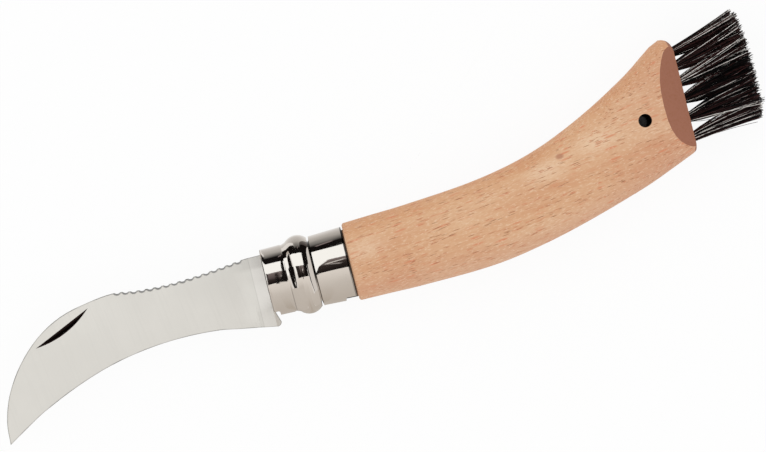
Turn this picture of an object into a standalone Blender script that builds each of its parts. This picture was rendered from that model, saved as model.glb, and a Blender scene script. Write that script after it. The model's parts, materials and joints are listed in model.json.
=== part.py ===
"""A folding mushroom knife, open and lying on its side: a hawkbill blade with a toothed back, a slotted
steel collar with a turning locking ring, a curved beech handle, and a brush of bristles in its end.
Metres, +Z up. X runs along the collar from the blade to the brush, Y across it, Z through the thickness.
"""

import math

import bmesh
import bpy
from mathutils import Matrix, Vector

# Clearances and sheet metal
SHEET = 0.0005
SEAT_GAP = 0.0003
RUN_GAP = 0.0003
OVERRUN = 0.004

# Collar, measured from the front edge of the locking ring
NECK_RADIUS = 0.00745
COLLAR_INSET = 0.0010
COLLAR_LENGTH = 0.0222
COLLAR_STEP_RUN = 0.0003
COLLAR_STEP_RADIUS = 0.0095
COLLAR_END_RADIUS = 0.0099
COLLAR_SLOT = 0.0050
REAR_NOTCH_LENGTH = 0.0030
NOTCH_WIDTH = 0.0092
NOTCH_CORNER = 0.0006
NECK_INSET = 0.0006
ROUND_STEPS = 56

# Locking ring
RING_LENGTH = 0.0127
RING_FLARE = 0.0001
RING_SLOT = 0.0036
GROOVE_CENTRE = 0.0058
GROOVE_WIDTH = 0.0009
GROOVE_DEPTH = 0.00015
BEAD_CENTRE = 0.0098
BEAD_WIDTH = 0.0058
BEAD_SHOULDER = 0.00035
BEAD_HEIGHT = 0.00125
BEAD_STEPS = 8
FLANGE_DROP = 0.0009
FRONT_NOTCH_LENGTH = 0.0016
LOCK_TURN = math.radians(60)
LOCK_RAMP_TURN = math.radians(30)

# Pivot pin
PIN_RADIUS = 0.0015
PIN_HEAD_RADIUS = 0.0020
PIN_HEAD_HEIGHT = 0.00045
PIN_STEPS = 24

# Blade, open. The outline's shares run from the collar (0) to the tip (1), along the blade and
# from the root's height to the tip's.
BLADE_THICKNESS = 0.0017
EDGE_THICKNESS = 0.00025
BLADE_REACH = 0.0759
TIP_DROP = 0.0251
HEEL_DEPTH = 0.0117
HEEL_SETBACK = 0.0012
HEEL_RADIUS = 0.0011
THROAT_SETBACK = 0.0003
TANG_RADIUS = 0.0056
CLOSING_ANGLE = math.radians(165)
SPINE_SHARES = (
    (0.0, 0.0), (0.066, 0.003), (0.198, 0.034), (0.33, 0.051), (0.448, 0.040), (0.526, 0.016),
    (0.619, 0.038), (0.725, 0.0965), (0.8195, 0.216), (0.9025, 0.400), (0.962, 0.610),
    (0.9934, 0.820), (1.0, 1.0),
)
EDGE_SHARES = (
    (0.0, 0.0), (0.067, -0.071), (0.133, -0.134), (0.2, -0.203), (0.33, -0.236), (0.4625, -0.184),
    (0.5945, -0.0425), (0.727, 0.203), (0.859, 0.531), (0.925, 0.744), (1.0, 1.0),
)
OUTLINE_STEPS = 4
RICASSO_LENGTH = 0.0042
PLUNGE_LENGTH = 0.0010
GRIND_LIFT = 0.00012
GRIND_ROUNDING_SHARE = 0.78
GRIND_SECTIONS = 30
GRIND_MARGIN = 0.0012
TIP_TAPER_SHARE = 0.62

# Teeth along the blade's back
TOOTH_COUNT = 16
TOOTH_PITCH = 0.0022
TOOTH_START = 0.0062
TOOTH_RADIUS = 0.00105
TOOTH_DEPTH = 0.00035
TOOTH_TILT = math.radians(14)

# Nail nick
NICK_LENGTH = 0.0164
NICK_SINK = 0.00107
NICK_ALONG_SHARE = 0.608
NICK_INSET = 0.00274
NICK_TILT = math.radians(50)

# Slot for the blade
BLADE_SLOT = 0.0025
SLOT_GAP = 0.0004
SLOT_END_GAP = 0.0007
SLOT_STEP = 0.0088

# Wooden handle behind the collar. Rows: along, top line, bottom line, swell of the sides, squareness.
HANDLE_GAP = 0.00045
HANDLE_LENGTH = 0.0956
WOOD_PROUD = 0.00037
TOP_RISE = 0.0287
BOTTOM_RISE = 0.01735
SIDE_SWELL = 0.0004
HANDLE_SHARES = (
    (0.0, 0.013, 0.0, 0.0, 0.0),
    (0.08, 0.026, -0.002, 0.4, 0.05),
    (0.18, 0.042, -0.006, 0.8, 0.1),
    (0.39, 0.106, 0.034, 1.0, 0.22),
    (0.55, 0.222, 0.180, 0.9, 0.34),
    (0.70, 0.424, 0.392, 0.5, 0.44),
    (0.85, 0.696, 0.650, 0.0, 0.52),
    (0.93, 0.882, 0.822, -0.3, 0.62),
    (1.0, 1.042, 0.979, -0.6, 1.0),
)
SQUARENESS = 1.0
HANDLE_SECTIONS = 34
SECTION_POINTS = 40
FRONT_EDGE = 0.0004
NOSE_RADIUS = 0.0030
CHIN_RADIUS = 0.0013
CORNER_STEPS = 6
CORD_HOLE_DIAMETER = 0.0035
CORD_HOLE_SETBACK = 0.0119
CORD_HOLE_HEIGHT = 0.01764

# Brush end: two flats narrow it, and tufts of bristle are stapled into holes in its face.
TAIL_FACE_WIDTH = 0.0120
BEVEL_LENGTH = 0.00605
TUFT_RADIUS = 0.0013
TUFT_GAP = 0.00015
TUFT_DEPTH = 0.0060
HOLE_FLOOR_GAP = 0.0016
TUFT_ROW_BOTTOM = 0.0105
TUFT_ROWS_SPAN = 0.0231
TUFT_ROW_SHARES = (0.0, 0.229, 0.446, 0.649, 0.835, 1.0)
TUFT_COLUMNS = (2, 3, 3, 3, 3, 2)
TUFT_COLUMN_PITCH = 0.0039
BRISTLE_LENGTH = 0.0200
BRISTLE_LEAN = math.radians(12.3)
FAN_SHARE_Y = 0.128
FAN_SHARE_Z = 0.30
TUFT_FAN_SHARES = (1.2, 1.1, 0.95, 0.8, 0.58, 0.58)
TUFT_FAN_ACROSS_SHARE = 0.75
CROWN_SHARE = 0.09
TIP_SHARE = 0.62
STRAND_INSET = 0.00005
TUFT_SECTORS = 8
TUFT_RINGS = 3
ANCHOR_LENGTH = 0.0023
ANCHOR_THICKNESS = 0.00035
ANCHOR_HEIGHT = 0.0013

# What follows from the sizes above
COLLAR_OUTER = NECK_RADIUS + SEAT_GAP + SHEET
RING_INNER = COLLAR_OUTER + RUN_GAP
RING_RADIUS = RING_INNER + SHEET
RING_END = RING_LENGTH
HANDLE_START = COLLAR_LENGTH + HANDLE_GAP
HANDLE_END = HANDLE_START + HANDLE_LENGTH
WOOD_RADIUS = COLLAR_END_RADIUS + WOOD_PROUD
HALF_BLADE = BLADE_THICKNESS / 2
PIVOT = Vector((BEAD_CENTRE, 0, 0))
TIP = Vector((-BLADE_REACH, -TIP_DROP))
SPINE_ROOT = NECK_RADIUS + SEAT_GAP
TANG_TOP = math.sqrt(NECK_RADIUS**2 - HALF_BLADE**2)
HOLE_DEPTH = TUFT_DEPTH + HOLE_FLOOR_GAP
KNIFE_SPAN = HANDLE_END + BRISTLE_LENGTH + BLADE_REACH


def clear_scene():
    for old in list(bpy.data.objects):
        bpy.data.objects.remove(old, do_unlink=True)


def new_collection(name):
    collection = bpy.data.collections.new(name)
    bpy.context.scene.collection.children.link(collection)
    return collection


def surface(name, colour, roughness, metallic):
    """A plain material with the part's colour, roughness and metal."""
    material = bpy.data.materials.new(name)
    material.use_nodes = True
    shader = material.node_tree.nodes["Principled BSDF"]
    shader.inputs["Base Color"].default_value = (*colour, 1)
    shader.inputs["Roughness"].default_value = roughness
    shader.inputs["Metallic"].default_value = metallic
    return material


def place(name, mesh, collection, material=None, location=(0, 0, 0), rotation=(0, 0, 0)):
    """One object, linked and placed."""
    piece = bpy.data.objects.new(name, mesh)
    piece.location = location
    piece.rotation_euler = rotation
    collection.objects.link(piece)
    if material:
        mesh.materials.append(material)
    return piece


def as_cutter(piece):
    piece.hide_render = True
    piece.display_type = "WIRE"
    return piece


def change(piece, other, operation="DIFFERENCE"):
    """A Boolean of the piece with another object or with all of a collection."""
    step = piece.modifiers.new(other.name, "BOOLEAN")
    step.operation = operation
    if isinstance(other, bpy.types.Collection):
        step.operand_type = "COLLECTION"
        step.collection = other
    else:
        step.object = other


def smooth_edges(mesh):
    mesh.shade_smooth()
    mesh.set_sharp_from_angle(angle=math.radians(32))


# Curves through a few points
def cubic(knots, values, at):
    """A smooth curve through the values, whose slope at each knot comes from its neighbours."""
    last = len(knots) - 1
    i = max(k for k in range(last) if knots[k] <= at or k == 0)

    def slope(k):
        low, high = max(k - 1, 0), min(k + 1, last)
        return (values[high] - values[low]) / (knots[high] - knots[low])

    run = knots[i + 1] - knots[i]
    t = (at - knots[i]) / run
    start = values[i] * (1 + 2 * t) * (1 - t) ** 2 + slope(i) * run * t * (1 - t) ** 2
    end = values[i + 1] * t * t * (3 - 2 * t) + slope(i + 1) * run * t * t * (t - 1)
    return start + end


def smooth_path(points, steps):
    """The points joined by a smooth path, with this many stretches between each two."""
    knots = [0.0]
    for before, after in zip(points, points[1:]):
        knots.append(knots[-1] + (after - before).length)
    across = [point.x for point in points]
    upward = [point.y for point in points]
    path = []
    for low, high in zip(knots, knots[1:]):
        for k in range(steps):
            at = low + (high - low) * k / steps
            path.append(Vector((cubic(knots, across, at), cubic(knots, upward, at))))
    return path + [points[-1]]


def arc(centre, radius, start, end, steps):
    """Points on a circle in the XY plane from one angle to another."""
    angles = (start + (end - start) * k / steps for k in range(steps + 1))
    return [centre + Vector((math.cos(a), math.sin(a))) * radius for a in angles]


def turned_point(point, centre, angle):
    return centre + Matrix.Rotation(angle, 2) @ (point - centre)


def tangent_angle(point, centre, radius, side):
    """The angle at which a line from the point touches the circle, on the side +1 or -1."""
    away = point - centre
    return math.atan2(away.y, away.x) - side * math.acos(radius / away.length)


def at_length(path, distance):
    """The point and the direction of a path at this distance along it."""
    for before, after in zip(path, path[1:]):
        step = after - before
        if distance <= step.length:
            return before + step * (distance / step.length), step.normalized()
        distance -= step.length
    return path[-1], (path[-1] - path[-2]).normalized()


def path_length(path):
    return sum((after - before).length for before, after in zip(path, path[1:]))


def inset_line(line, depth):
    """A line of (along, radius) points moved towards the axis, with mitred corners."""
    moved = []
    for i, point in enumerate(line):
        ahead = (line[min(i + 1, len(line) - 1)] - line[min(i, len(line) - 2)]).normalized()
        behind = (line[max(i, 1)] - line[max(i - 1, 0)]).normalized()
        across = (ahead + behind).normalized()
        inward = Vector((across.y, -across.x))
        moved.append(point + inward * depth / inward.dot(Vector((behind.y, -behind.x))))
    return moved


# Solids
def flat_piece(name, outline, thickness, collection, material=None, location=(0, 0, 0), rotation=(0, 0, 0)):
    """A flat outline with a thickness, centred on its own XY plane."""
    curve = bpy.data.curves.new(name + "_outline", "CURVE")
    curve.dimensions = "2D"
    curve.fill_mode = "BOTH"
    curve.extrude = thickness / 2
    spline = curve.splines.new("POLY")
    spline.points.add(len(outline) - 1)
    for point, corner in zip(spline.points, outline):
        point.co = (corner.x, corner.y, 0, 1)
    spline.use_cyclic_u = True
    guide = bpy.data.objects.new(name + "_guide", curve)
    collection.objects.link(guide)
    graph = bpy.context.evaluated_depsgraph_get()
    mesh = bpy.data.meshes.new_from_object(guide.evaluated_get(graph))
    bpy.data.objects.remove(guide, do_unlink=True)
    bpy.data.curves.remove(curve)
    shape = bmesh.new()
    shape.from_mesh(mesh)
    bmesh.ops.remove_doubles(shape, verts=shape.verts, dist=1e-6)
    bmesh.ops.recalc_face_normals(shape, faces=shape.faces)
    shape.to_mesh(mesh)
    shape.free()
    return place(name, mesh, collection, material, location, rotation)


def turned_piece(
    name, profile, closed, collection, steps, material=None, location=(0, 0, 0), rotation=(0, 0, 0)
):
    """A profile of (radius, along) points, running down its outer side, turned about local Z."""
    mesh = bpy.data.meshes.new(name)
    shape = bmesh.new()
    corners = [shape.verts.new((point.x, 0, point.y)) for point in profile]
    for before, after in zip(corners, corners[1:]):
        shape.edges.new((before, after))
    if closed:
        shape.edges.new((corners[-1], corners[0]))
    shape.to_mesh(mesh)
    shape.free()
    piece = place(name, mesh, collection, material, location, rotation)
    turn = piece.modifiers.new("turn", "SCREW")
    turn.axis = "Z"
    turn.steps = steps
    turn.render_steps = steps
    turn.use_merge_vertices = True
    turn.merge_threshold = 1e-6
    turn.use_smooth_shade = True
    return piece


def rod(name, radius, length, steps, collection, location, direction):
    """A plain round rod, centred on the location, for cutting a bore."""
    mesh = bpy.data.meshes.new(name)
    shape = bmesh.new()
    bmesh.ops.create_cone(
        shape, cap_ends=True, segments=steps, radius1=radius, radius2=radius, depth=length
    )
    shape.to_mesh(mesh)
    shape.free()
    turn = Vector((0, 0, 1)).rotation_difference(direction).to_euler()
    return as_cutter(place(name, mesh, collection, location=location, rotation=turn))


def block(name, size, collection, location, rotation=(0, 0, 0), corner=0.0):
    """A box for cutting. Its edges along Y may be rounded."""
    mesh = bpy.data.meshes.new(name)
    shape = bmesh.new()
    bmesh.ops.create_cube(shape, size=1)
    bmesh.ops.scale(shape, vec=size, verts=shape.verts)
    if corner:
        upright = [e for e in shape.edges if abs(e.verts[0].co.y - e.verts[1].co.y) > corner]
        bmesh.ops.bevel(shape, geom=upright, offset=corner, segments=4, affect="EDGES", profile=0.5)
    shape.to_mesh(mesh)
    shape.free()
    return as_cutter(place(name, mesh, collection, location=location, rotation=rotation))


def loft(name, sections):
    """A closed mesh over sections with the same number of points, with flat ends."""
    mesh = bpy.data.meshes.new(name)
    shape = bmesh.new()
    rings = [[shape.verts.new(point) for point in section] for section in sections]
    count = len(rings[0])
    sides = []
    for before, after in zip(rings, rings[1:]):
        for k in range(count):
            n = (k + 1) % count
            sides.append(shape.faces.new((before[k], before[n], after[n], after[k])))
    bmesh.ops.triangulate(shape, faces=sides)
    shape.faces.new(rings[0])
    shape.faces.new(rings[-1])
    bmesh.ops.recalc_face_normals(shape, faces=shape.faces)
    shape.to_mesh(mesh)
    shape.free()
    smooth_edges(mesh)
    return mesh


# Collar, ring and pin
ALONG_X = (0, math.pi / 2, 0)


def collar_line():
    """The fixed collar's outer surface, front to rear, as (along, radius)."""
    step = RING_END + RUN_GAP
    return [
        Vector((COLLAR_INSET, COLLAR_OUTER)),
        Vector((step, COLLAR_OUTER)),
        Vector((step + COLLAR_STEP_RUN, COLLAR_STEP_RADIUS)),
        Vector((COLLAR_LENGTH, COLLAR_END_RADIUS)),
    ]


def ring_line():
    """The ring's outer surface, front to rear: a skirt, a fine groove, a bead and a turned-in flange."""
    shoulder = RING_RADIUS + BEAD_SHOULDER
    half = BEAD_WIDTH / 2
    bead_radius = (half**2 + BEAD_HEIGHT**2) / (2 * BEAD_HEIGHT)
    middle = Vector((BEAD_CENTRE, shoulder + BEAD_HEIGHT - bead_radius))
    reach = math.asin(half / bead_radius)
    bead = arc(middle, bead_radius, math.pi / 2 + reach, math.pi / 2 - reach, BEAD_STEPS)
    skirt_end = RING_RADIUS + RING_FLARE
    return [
        Vector((0, RING_RADIUS)),
        Vector((GROOVE_CENTRE - GROOVE_WIDTH / 2, skirt_end)),
        Vector((GROOVE_CENTRE, skirt_end - GROOVE_DEPTH)),
        Vector((GROOVE_CENTRE + GROOVE_WIDTH / 2, skirt_end)),
        *bead,
        Vector((RING_END, shoulder - FLANGE_DROP)),
    ]


def sheet_profile(line):
    """A closed profile of the sheet under a line, running down its outer side."""
    inner = inset_line(line, SHEET)
    return [Vector((p.y, p.x)) for p in reversed(line)] + [Vector((p.y, p.x)) for p in inner]


def make_collar(knife, cutters, steel):
    collar = turned_piece(
        "fixed_collar", sheet_profile(collar_line()), True, knife, ROUND_STEPS, steel, rotation=ALONG_X
    )
    middle = COLLAR_LENGTH / 2
    tall = COLLAR_END_RADIUS + OVERRUN
    slot = block(
        "collar_slot", (COLLAR_LENGTH + OVERRUN, tall, COLLAR_SLOT), cutters, (middle, -tall / 2, 0)
    )
    notch_length = REAR_NOTCH_LENGTH + OVERRUN
    notch = block(
        "collar_rear_notch",
        (notch_length, tall, NOTCH_WIDTH),
        cutters,
        (COLLAR_LENGTH - REAR_NOTCH_LENGTH + notch_length / 2, -tall / 2, 0),
        corner=NOTCH_CORNER,
    )
    change(collar, slot)
    change(collar, notch)
    return collar


def make_ring(knife, cutters, chrome):
    ring = turned_piece(
        "locking_ring", sheet_profile(ring_line()), True, knife, ROUND_STEPS, chrome, rotation=ALONG_X
    )
    tall = RING_RADIUS + BEAD_HEIGHT + OVERRUN
    slot = block(
        "ring_slot", (RING_LENGTH + OVERRUN, tall, RING_SLOT), cutters, (RING_LENGTH / 2, -tall / 2, 0)
    )
    notch_length = FRONT_NOTCH_LENGTH + OVERRUN
    notch = block(
        "ring_front_notch",
        (notch_length, tall, NOTCH_WIDTH),
        cutters,
        (FRONT_NOTCH_LENGTH - notch_length / 2, -tall / 2, 0),
        corner=NOTCH_CORNER,
    )
    change(ring, slot)
    change(ring, notch)
    change(ring, lock_relief(cutters))
    return ring


def lock_relief(cutters):
    """The far side's front edge stands behind the heel where turning the ring brings it there."""
    relief = HEEL_SETBACK + RUN_GAP
    heel_half_turn = math.asin(NOTCH_WIDTH / 4 / RING_RADIUS)
    flat_end = -RING_RADIUS * math.cos(LOCK_TURN + heel_half_turn)
    ramp_end = -RING_RADIUS * math.cos(LOCK_TURN + heel_half_turn + LOCK_RAMP_TURN)
    deep = RING_RADIUS + OVERRUN
    outline = [
        Vector((-OVERRUN, -deep)),
        Vector((relief, -deep)),
        Vector((relief, flat_end)),
        Vector((-RUN_GAP, ramp_end)),
        Vector((-OVERRUN, ramp_end)),
    ]
    return as_cutter(flat_piece("ring_lock_relief", outline, deep, cutters, location=(0, 0, -deep / 2)))


def make_pin(knife, steel):
    """A pin across the neck, with its two heads in the hollow of the ring's bead."""
    seat = COLLAR_OUTER + SEAT_GAP
    top = seat + PIN_HEAD_HEIGHT
    dome = PIN_HEAD_HEIGHT / 3
    upper = [
        Vector((0, top)),
        Vector((PIN_HEAD_RADIUS - dome, top - dome / 2)),
        Vector((PIN_HEAD_RADIUS, top - dome)),
        Vector((PIN_HEAD_RADIUS, seat)),
        Vector((PIN_RADIUS, seat)),
    ]
    lower = [Vector((p.x, -p.y)) for p in reversed(upper)]
    return turned_piece("pivot_pin", upper + lower, False, knife, PIN_STEPS, steel, location=PIVOT)


# Blade
def root_to_tip(shares, root):
    """An outline's points from the collar to the tip."""
    drop = TIP.y - root
    return smooth_path([Vector((x * TIP.x, root + y * drop)) for x, y in shares], OUTLINE_STEPS)


def heel_points():
    corner = Vector((HEEL_SETBACK - HEEL_RADIUS, HEEL_RADIUS - HEEL_DEPTH))
    throat = Vector((THROAT_SETBACK, -(COLLAR_OUTER - RUN_GAP)))
    return [throat, *arc(corner, HEEL_RADIUS, 0, -math.pi / 2, 4)]


def blade_outline():
    """Round the tang, along the back to the tip, and along the edge to the heel."""
    pivot = PIVOT.xy
    shoulder = Vector((HALF_BLADE, TANG_TOP))
    heel = heel_points()
    upper = tangent_angle(shoulder, pivot, TANG_RADIUS, 1)
    lower = tangent_angle(heel[0], pivot, TANG_RADIUS, -1)
    tang = arc(pivot, TANG_RADIUS, lower, upper, 18)
    spine = root_to_tip(SPINE_SHARES, SPINE_ROOT)
    edge = root_to_tip(EDGE_SHARES, -HEEL_DEPTH)
    return tang + [shoulder] + spine + list(reversed(edge[1:-1])) + list(reversed(heel))


def offset_out(path, side, margin):
    """A path moved sideways, to its left (+1) or right (-1)."""
    moved = []
    for i, point in enumerate(path):
        way = (path[min(i + 1, len(path) - 1)] - path[max(i - 1, 0)]).normalized()
        moved.append(point + Vector((-way.y, way.x)) * side * margin)
    return moved


def resampled(path, count):
    whole = path_length(path)
    return [at_length(path, whole * k / count)[0] for k in range(count + 1)]


def grind_body(cutters):
    """A wedge over the whole blade: full at the back and the root, thin along the edge and the tip."""
    back = offset_out(resampled(root_to_tip(SPINE_SHARES, SPINE_ROOT), GRIND_SECTIONS), -1, GRIND_MARGIN)
    front = offset_out(resampled(root_to_tip(EDGE_SHARES, -HEEL_DEPTH), GRIND_SECTIONS), 1, GRIND_MARGIN)
    full = HALF_BLADE + GRIND_LIFT
    rear = COLLAR_LENGTH
    rows = (1.0, 0.75, 0.5, 0.25, 0.1, 0.0)

    def section(high, low, thick):
        """The two faces' points between the back and the edge, thick(share) being half the thickness."""
        upper = [(low.lerp(high, r), thick(r)) for r in rows]
        return [(p.x, p.y, t) for p, t in upper] + [(p.x, p.y, -t) for p, t in reversed(upper)]

    def whole(share):
        return full

    def wedge(at):
        spine_half = full - (full - EDGE_THICKNESS) * TIP_TAPER_SHARE * at**2

        def thick(share):
            return EDGE_THICKNESS / 2 + (spine_half - EDGE_THICKNESS / 2) * share**GRIND_ROUNDING_SHARE

        return thick

    top = Vector((0, GRIND_MARGIN))
    sections = []
    for x in (rear, -RICASSO_LENGTH):
        sections.append(section(Vector((x, SPINE_ROOT)) + top, Vector((x, -HEEL_DEPTH)) - top, whole))
    plunge = -(RICASSO_LENGTH + PLUNGE_LENGTH)
    for k, (high, low) in enumerate(zip(back, front)):
        if max(high.x, low.x) > plunge:
            continue
        if len(sections) == 2:
            start = section(Vector((plunge, high.y)), Vector((plunge, low.y)), wedge(0))
            sections.append(start)
            continue
        sections.append(section(high, low, wedge(k / GRIND_SECTIONS)))
    return as_cutter(place("blade_grind", loft("blade_grind", sections), cutters))


def tooth_cutters(cutters):
    """Slanted scallops along the back, deeper on the near face."""
    teeth = bpy.data.collections.new("tooth_cutters")
    cutters.children.link(teeth)
    spine = root_to_tip(SPINE_SHARES, SPINE_ROOT)
    reach = TOOTH_RADIUS / math.cos(TOOTH_TILT)
    lift = reach - TOOTH_DEPTH - HALF_BLADE * math.tan(TOOTH_TILT)
    for k in range(TOOTH_COUNT):
        point, way = at_length(spine, TOOTH_START + k * TOOTH_PITCH)
        out = Vector((way.y, -way.x))
        centre = point + out * lift
        lean = Vector((-out.x * math.sin(TOOTH_TILT), -out.y * math.sin(TOOTH_TILT), math.cos(TOOTH_TILT)))
        rod(f"tooth_cut_{k + 1:02d}", TOOTH_RADIUS, BLADE_THICKNESS + OVERRUN, 16, teeth, (*centre, 0), lean)
    return teeth


def nick_cutter(cutters):
    """A thumbnail groove, as a tilted grinding wheel leaves it: straight above, bowed below."""
    half = NICK_LENGTH / 2
    wheel_radius = (half**2 + NICK_SINK**2) / (2 * NICK_SINK)
    spine = root_to_tip(SPINE_SHARES, SPINE_ROOT)
    point, way = at_length(spine, path_length(spine) * NICK_ALONG_SHARE)
    down = Vector((-way.y, way.x, 0))
    face = Vector((0, 0, 1))
    depth_way = face * math.cos(NICK_TILT) - down * math.sin(NICK_TILT)
    axle = face * math.sin(NICK_TILT) + down * math.cos(NICK_TILT)
    start = Vector((point.x, point.y, HALF_BLADE)) + down * NICK_INSET
    wheel = NICK_LENGTH / 4
    centre = start + depth_way * (wheel_radius - NICK_SINK) + axle * wheel / 2
    return rod("nick_cut", wheel_radius, wheel, 160, cutters, centre, axle)


def make_blade(knife, cutters, steel, pin_bore):
    outline = [point - PIVOT.xy for point in blade_outline()]
    blade = flat_piece("blade", outline, BLADE_THICKNESS, knife, steel, location=PIVOT)
    change(blade, grind_body(cutters), "INTERSECT")
    change(blade, tooth_cutters(cutters))
    change(blade, nick_cutter(cutters))
    change(blade, pin_bore)
    return blade


# Handle
def handle_value(column, x):
    at = min(max((x - HANDLE_START) / HANDLE_LENGTH, 0), 1)
    return cubic([row[0] for row in HANDLE_SHARES], [row[column] for row in HANDLE_SHARES], at)


def top_line(x):
    return WOOD_RADIUS + TOP_RISE * handle_value(1, x)


def bottom_line(x):
    return -WOOD_RADIUS + BOTTOM_RISE * handle_value(2, x)


def half_width(x):
    return WOOD_RADIUS + SIDE_SWELL * handle_value(3, x)


def rounded(line, radius, side, x):
    """A line's height at x, with its corner at the handle's end rounded. Side is +1 on top, -1 below."""
    centre_x = HANDLE_END - radius
    slope = (line(HANDLE_END) - line(centre_x)) / radius
    spread = math.sqrt(1 + slope**2)
    if x <= centre_x - side * radius * slope / spread:
        return line(x)
    centre_y = line(centre_x) - side * radius * spread
    return centre_y + side * math.sqrt(max(radius**2 - (x - centre_x) ** 2, 0))


def handle_section(x, inset=0.0):
    """A rounded section between the top and bottom lines, squarer towards the brush."""
    top = rounded(top_line, NOSE_RADIUS, 1, x) - inset
    bottom = rounded(bottom_line, CHIN_RADIUS, -1, x) + inset
    middle = (top + bottom) / 2
    power = 2 / (2 + SQUARENESS * handle_value(4, x))
    points = []
    for k in range(SECTION_POINTS):
        angle = 2 * math.pi * k / SECTION_POINTS
        across = math.copysign(abs(math.cos(angle)) ** power, math.cos(angle))
        up = math.copysign(abs(math.sin(angle)) ** power, math.sin(angle))
        points.append((x, middle + (top - middle) * up, (half_width(x) - inset) * across))
    return points


def make_wood(knife, beech):
    body_end = HANDLE_END - NOSE_RADIUS
    body_start = HANDLE_START + FRONT_EDGE
    sections = [handle_section(HANDLE_START, FRONT_EDGE)]
    for k in range(HANDLE_SECTIONS):
        sections.append(handle_section(body_start + (body_end - body_start) * k / HANDLE_SECTIONS))
    for k in range(CORNER_STEPS + 1):
        turn = math.pi / 2 * k / CORNER_STEPS
        sections.append(handle_section(body_end + NOSE_RADIUS * math.sin(turn)))
    return place("handle", loft("handle", sections), knife, beech)


def neck(cutters):
    """The turned end of the handle that fills the fixed collar."""
    line = inset_line(collar_line(), SHEET + SEAT_GAP)
    line[0].x += NECK_INSET
    line.append(Vector((HANDLE_START + OVERRUN, line[-1].y)))
    outer = [Vector((p.y, p.x)) for p in reversed(line)]
    profile = [Vector((0, outer[0].y)), *outer, Vector((0, outer[-1].y))]
    return as_cutter(turned_piece("neck_form", profile, False, cutters, ROUND_STEPS, rotation=ALONG_X))


def slot_outline():
    """Open below. Its ceiling clears the tang, the heel and the edge of the closed blade."""
    pivot = PIVOT.xy
    heel = [turned_point(p, pivot, CLOSING_ANGLE) for p in heel_points()]
    edge = [turned_point(p, pivot, CLOSING_ANGLE) for p in root_to_tip(EDGE_SHARES, -HEEL_DEPTH)]
    heel_top = max(p.y for p in heel) + SLOT_GAP
    heel_rear = min(p.x for p in heel) - SLOT_GAP
    tang_top = TANG_RADIUS + SLOT_GAP
    open_top = COLLAR_OUTER + OVERRUN
    floor = -TIP_DROP
    slot_end = pivot.x + (TIP - pivot).length + SLOT_END_GAP
    roof = [Vector((p.x + SLOT_GAP, p.y + SLOT_GAP)) for p in edge[2:] if p.y + SLOT_GAP < heel_top]
    return [
        Vector((-OVERRUN, floor)),
        Vector((slot_end, floor)),
        Vector((slot_end, roof[-1].y)),
        *reversed(roof[:-1]),
        Vector((roof[0].x - SLOT_GAP, heel_top)),
        Vector((heel_rear, heel_top)),
        Vector((heel_rear, tang_top)),
        Vector((SLOT_STEP, tang_top)),
        Vector((SLOT_STEP, open_top)),
        Vector((-OVERRUN, open_top)),
    ]


def tail_cutters(cutters):
    """Two flats that narrow the brush end."""
    drop = half_width(HANDLE_END) - TAIL_FACE_WIDTH / 2
    tilt = math.atan2(drop, BEVEL_LENGTH)
    size = TOP_RISE + WOOD_RADIUS + HANDLE_LENGTH / 2
    flats = []
    for side, turn in ((1, tilt), (-1, math.pi - tilt)):
        out = Vector((math.sin(tilt), 0, side * math.cos(tilt)))
        on_face = Vector((HANDLE_END, 0, side * TAIL_FACE_WIDTH / 2))
        name = "tail_flat_near" if side > 0 else "tail_flat_far"
        flats.append(block(name, (size, size * 2, size), cutters, on_face + out * size / 2, (0, turn, 0)))
    return flats


# Brush
def tuft_roots():
    """Where each tuft leaves the end face, as (height, across), with its fan up and down."""
    roots = []
    for share, columns, fan in zip(TUFT_ROW_SHARES, TUFT_COLUMNS, TUFT_FAN_SHARES):
        for c in range(columns):
            height = TUFT_ROW_BOTTOM + TUFT_ROWS_SPAN * share
            roots.append((height, (c - (columns - 1) / 2) * TUFT_COLUMN_PITCH, fan))
    return roots


def tuft_frame(height, across):
    """The tuft's own frame: its Z runs out of the handle along the lean."""
    lean = Matrix.Rotation(BRISTLE_LEAN, 4, "Z") @ Matrix.Rotation(math.pi / 2, 4, "Y")
    return Matrix.Translation((HANDLE_END, height, across)) @ lean


def strand_tip(root, tuft_root, fan):
    """Where a bristle ends: one even spread of the whole brush and one of each tuft, so none cross."""
    middle = TUFT_ROW_BOTTOM + TUFT_ROWS_SPAN / 2
    from_middle = (tuft_root.y - middle) / (TUFT_ROWS_SPAN / 2)
    length = BRISTLE_LENGTH * (1 - CROWN_SHARE * from_middle**2)
    spread = length / BRISTLE_LENGTH
    shift = length * math.tan(BRISTLE_LEAN)
    own = root - tuft_root
    return Vector(
        (
            HANDLE_END + length,
            root.y + ((tuft_root.y - middle) * FAN_SHARE_Y + own.y * fan) * spread + shift,
            root.z + (tuft_root.z * FAN_SHARE_Z + own.z * TUFT_FAN_ACROSS_SHARE) * spread,
        )
    )


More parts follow.
